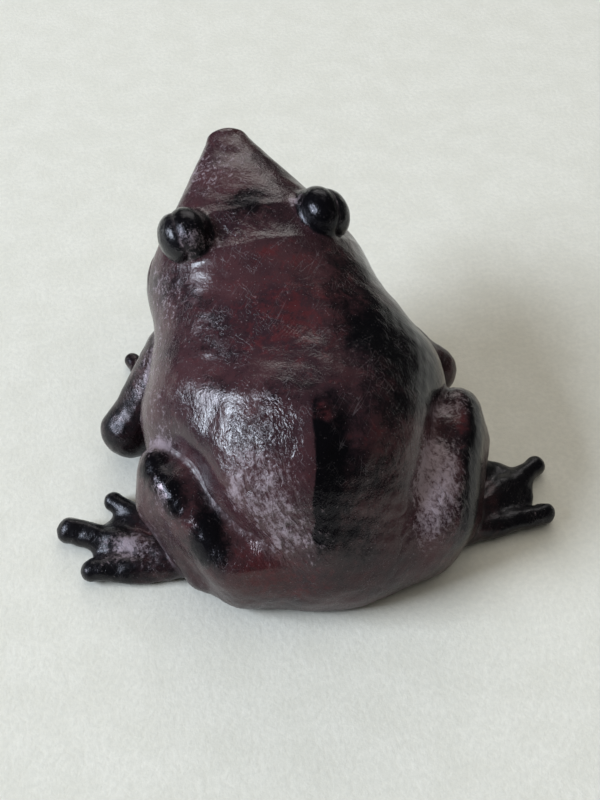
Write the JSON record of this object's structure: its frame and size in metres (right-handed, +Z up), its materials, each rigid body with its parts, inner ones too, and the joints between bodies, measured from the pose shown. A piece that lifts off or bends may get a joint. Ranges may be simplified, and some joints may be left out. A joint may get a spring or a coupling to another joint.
{
  "type": "frog figurine",
  "caption": "Sitting frog figurine: hollow cast body with soldered limbs and eyes, screwed base plate and felt pad.",
  "frame": {"origin": "middle of the felt pad's flat underside, on the table", "axes": "+Z up, the frog faces -Y, +X is the frog's left"},
  "size_m": [0.1051, 0.0936, 0.0528],
  "materials": {
    "patina": "dark red-brown chemical patina with black mottling, waxed, fine brush scratches",
    "dark_patina": "near-black glossy waxed patina",
    "plate": "dulled sheet",
    "screw": "plain, lightly oxidised",
    "felt": "pressed wool felt"
  },
  "bodies": {
    "root": {"body_casting": "patina", "back_plug": "patina", "head_plug": "patina", "foreleg_left": "patina", "foreleg_right": "patina", "hind_leg_left": "patina", "hind_leg_right": "patina", "hind_foot_left": "dark_patina", "hind_foot_right": "dark_patina", "eye_left": "dark_patina", "eye_right": "dark_patina", "base_plate": "plate", "felt_pad": "felt", "base_screw_1": "screw", "base_screw_2": "screw", "base_screw_3": "screw", "base_screw_4": "screw"}
  },
  "joints": []
}
